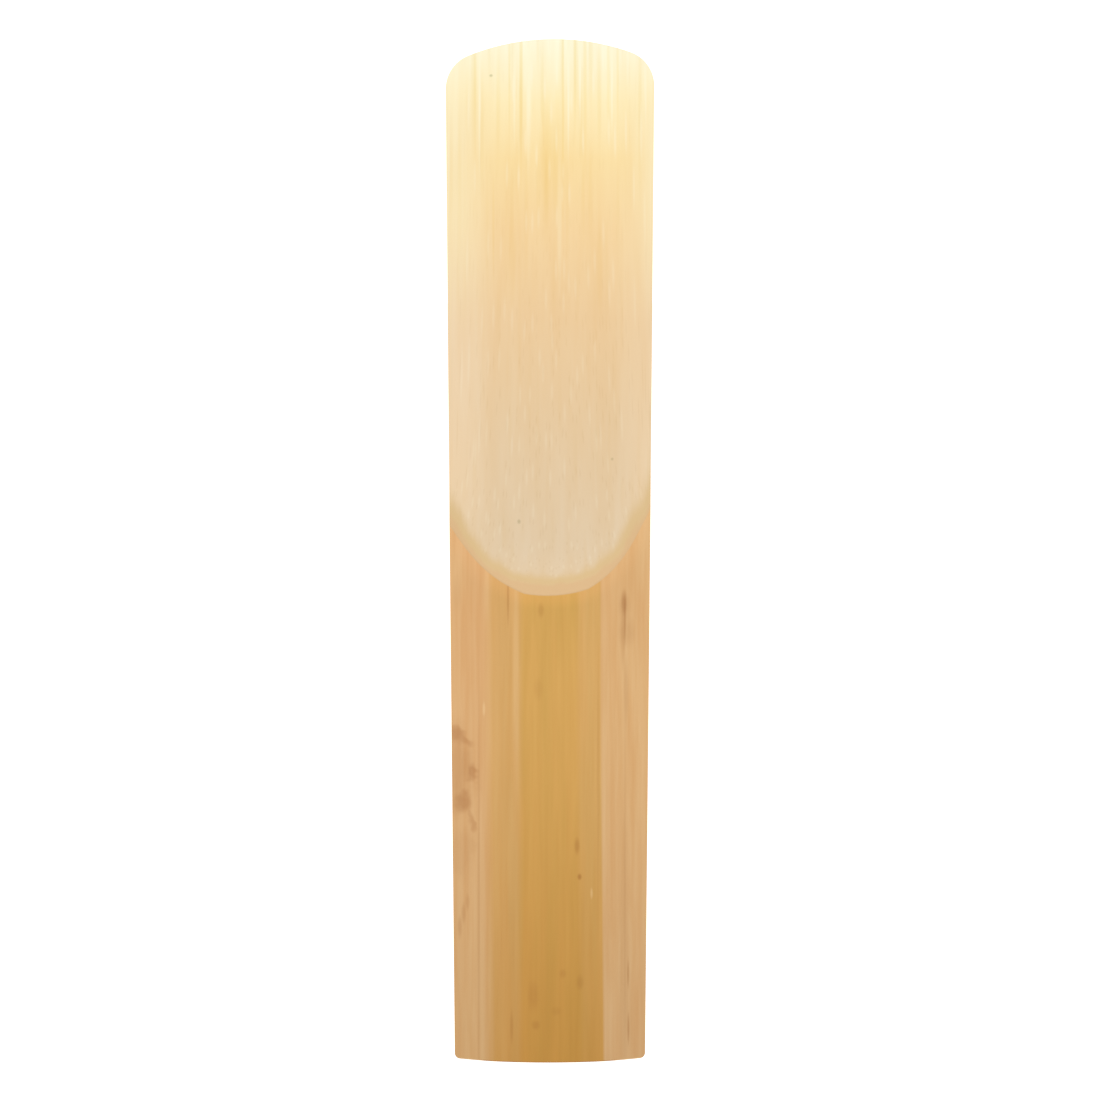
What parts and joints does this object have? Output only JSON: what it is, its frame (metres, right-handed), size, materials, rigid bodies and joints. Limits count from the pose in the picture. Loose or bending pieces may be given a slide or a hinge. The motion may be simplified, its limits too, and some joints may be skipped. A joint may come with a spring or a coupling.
{
  "type": "tenor saxophone reed",
  "caption": "Flat-backed cane reed with a domed bark stock and a scraped vamp that thins to a flexible rounded tip, for a tenor mouthpiece.",
  "frame": {"origin": "middle of the flat table, halfway along the reed and halfway across it", "axes": "+Y from the heel to the tip, +Z from the table up through the bark, +X across to the right"},
  "size_m": [0.0164, 0.08, 0.0033],
  "materials": {
    "bark": "satin",
    "cortex": "satin",
    "fibre_ring": "matte",
    "cane": "matte",
    "fibre_bundle": "matte"
  },
  "bodies": {
    "stock": {"bark": "bark", "cortex": "cortex", "fibre_ring": "fibre_ring", "stock_core": "cane", "stock_bundles": "fibre_bundle"},
    "heart": {"heart": "cane", "heart_bundles": "fibre_bundle"},
    "blade": {"blade": "cane", "blade_bundles": "fibre_bundle"},
    "tip": {"tip": "cane"}
  },
  "joints": [
    {"name": "heart_flex", "type": "hinge", "parent": "stock", "child": "heart", "pos_m": [0, 0.01917, 0], "axis": [-1, 0, 0], "range_deg": [0, 3.82], "stiffness_Nm_per_rad": 1.32},
    {"name": "blade_flex", "type": "hinge", "parent": "heart", "child": "blade", "pos_m": [0, 0.0275, 0], "axis": [-1, 0, 0], "range_deg": [0, 3.82]},
    {"name": "tip_flex", "type": "hinge", "parent": "blade", "child": "tip", "pos_m": [0, 0.03583, 0], "axis": [-1, 0, 0], "range_deg": [0, 3.82]}
  ],
  "couplings": [
    {"joint": "blade_flex", "follows": "heart_flex", "ratio": 1},
    {"joint": "tip_flex", "follows": "heart_flex", "ratio": 1}
  ]
}
